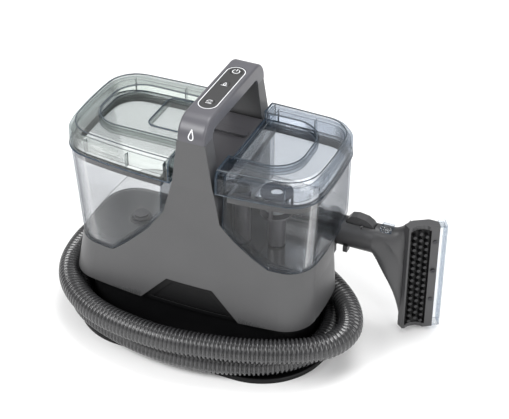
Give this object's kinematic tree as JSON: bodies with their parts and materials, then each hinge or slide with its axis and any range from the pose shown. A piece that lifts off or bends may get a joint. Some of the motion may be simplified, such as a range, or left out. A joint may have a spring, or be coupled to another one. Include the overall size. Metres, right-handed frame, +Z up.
{
  "type": "spot extractor",
  "caption": "Portable spot extractor with two lift-out clear tanks, a loop handle, a hose wound round the base and a parked brush tool.",
  "frame": {"origin": "on the floor, under the middle of the carrying handle", "axes": "+X towards the parked tool, along the length; +Y to the rear; +Z up"},
  "size_m": [0.5168, 0.2764, 0.347],
  "materials": {
    "grey_shell": "satin",
    "handle_shell": "satin",
    "panel": "satin",
    "black_plastic": "satin",
    "dark_plastic": "satin",
    "clear_plastic": "gloss",
    "rubber": "matt",
    "hose": "satin",
    "bristle": "matt",
    "float_foam": "matt",
    "steel": "satin",
    "board": "satin"
  },
  "bodies": {
    "root": {"base_screws": "steel", "base_tray": "black_plastic", "column_cap": "black_plastic", "control_board": "board", "control_panel": "panel", "cord_gland": "black_plastic", "exhaust_grille": "black_plastic", "foot_pads": "rubber", "front_housing": "grey_shell", "front_panel": "black_plastic", "handle_cap": "handle_shell", "handle_grip": "handle_shell", "hose_coil": "hose", "hose_cuff": "black_plastic", "hose_port": "black_plastic", "hose_riser": "hose", "motor_bearings": "steel", "motor_housing": "dark_plastic", "motor_inlet": "dark_plastic", "motor_stator": "steel", "rear_housing": "grey_shell", "rubber_mounts": "rubber", "suction_duct": "dark_plastic", "tank_platform": "dark_plastic", "tank_socket": "dark_plastic", "tool_cradle": "black_plastic", "water_lines": "rubber", "water_pump": "dark_plastic"},
    "clean_tank_body": {"clean_tank": "clear_plastic", "valve_seat": "dark_plastic"},
    "valve_poppet_body": {"valve_poppet": "dark_plastic", "valve_spring": "steel"},
    "clean_lid_body": {"clean_lid": "clear_plastic", "clean_lid_seal": "rubber", "flap_pin": "steel"},
    "fill_flap_body": {"fill_flap": "clear_plastic"},
    "dirty_tank_body": {"dirty_tank": "clear_plastic", "intake_pipe": "dark_plastic", "air_pipe": "dark_plastic"},
    "float_body": {"float_disc": "float_foam"},
    "dirty_lid_body": {"dirty_lid": "clear_plastic", "dirty_lid_seal": "rubber"},
    "rotor_body": {"motor_rotor": "steel", "impeller": "dark_plastic"},
    "power_button_body": {"power_button": "panel"},
    "spray_button_body": {"spray_button": "panel"},
    "suction_button_body": {"suction_button": "panel"},
    "tool_body": {"tool_handle_front": "grey_shell", "tool_handle_rear": "grey_shell", "tool_head": "grey_shell", "brush_block": "black_plastic", "brush_tufts": "bristle", "clear_window": "clear_plastic", "window_screws": "steel", "spray_tip": "steel", "spray_valve": "dark_plastic", "trigger_pin": "steel", "trigger_spring": "steel"},
    "trigger_body": {"trigger": "black_plastic"},
    "valve_stem_body": {"valve_stem": "steel"}
  },
  "joints": [
    {"name": "clean_tank_lift", "type": "slide", "parent": "root", "child": "clean_tank_body", "axis": [0, 0, 1], "range_m": [0, 0.16]},
    {"name": "clean_valve_press", "type": "slide", "parent": "clean_tank_body", "child": "valve_poppet_body", "axis": [0, 0, 1], "range_m": [0, 0.004], "stiffness_N_per_m": 250, "springref_m": -0.001, "deforming": ["valve_spring"]},
    {"name": "clean_lid_lift", "type": "slide", "parent": "clean_tank_body", "child": "clean_lid_body", "axis": [0, 0, 1], "range_m": [0, 0.06]},
    {"name": "fill_flap_hinge", "type": "hinge", "parent": "clean_lid_body", "child": "fill_flap_body", "pos_m": [-0.0385, 0.025, 0.2795], "axis": [0, 1, 0], "range_deg": [0, 95]},
    {"name": "dirty_tank_lift", "type": "slide", "parent": "root", "child": "dirty_tank_body", "axis": [0, 0, 1], "range_m": [0, 0.16]},
    {"name": "float_rise", "type": "slide", "parent": "dirty_tank_body", "child": "float_body", "axis": [0, 0, 1], "range_m": [0, 0.0105]},
    {"name": "dirty_lid_lift", "type": "slide", "parent": "dirty_tank_body", "child": "dirty_lid_body", "axis": [0, 0, 1], "range_m": [0, 0.06]},
    {"name": "motor_spin", "type": "hinge", "parent": "root", "child": "rotor_body", "pos_m": [0.092, -0.036, 0.1], "axis": [0, 0, 1], "continuous": true},
    {"name": "power_button_press", "type": "slide", "parent": "root", "child": "power_button_body", "axis": [0, 0, -1], "range_m": [0, 0.0012], "stiffness_N_per_m": 600},
    {"name": "spray_button_press", "type": "slide", "parent": "root", "child": "spray_button_body", "axis": [0, 0, -1], "range_m": [0, 0.0012], "stiffness_N_per_m": 600},
    {"name": "suction_button_press", "type": "slide", "parent": "root", "child": "suction_button_body", "axis": [0, 0, -1], "range_m": [0, 0.0012], "stiffness_N_per_m": 600},
    {"name": "tool_swivel", "type": "hinge", "parent": "root", "child": "tool_body", "pos_m": [0.15, 0.05, 0.138], "axis": [-1, 0, 0], "range_deg": [0, 90]},
    {"name": "trigger_pull", "type": "hinge", "parent": "tool_body", "child": "trigger_body", "pos_m": [0.18, 0.05, 0.156], "axis": [0, -1, 0], "range_deg": [0, 7], "stiffness_Nm_per_rad": 0.6},
    {"name": "valve_stem_push", "type": "slide", "parent": "tool_body", "child": "valve_stem_body", "axis": [0, 0, -1], "range_m": [0, 0.00181], "deforming": ["trigger_spring"]}
  ],
  "couplings": [
    {"joint": "valve_stem_push", "follows": "trigger_pull", "m_per_rad": 0.014}
  ]
}
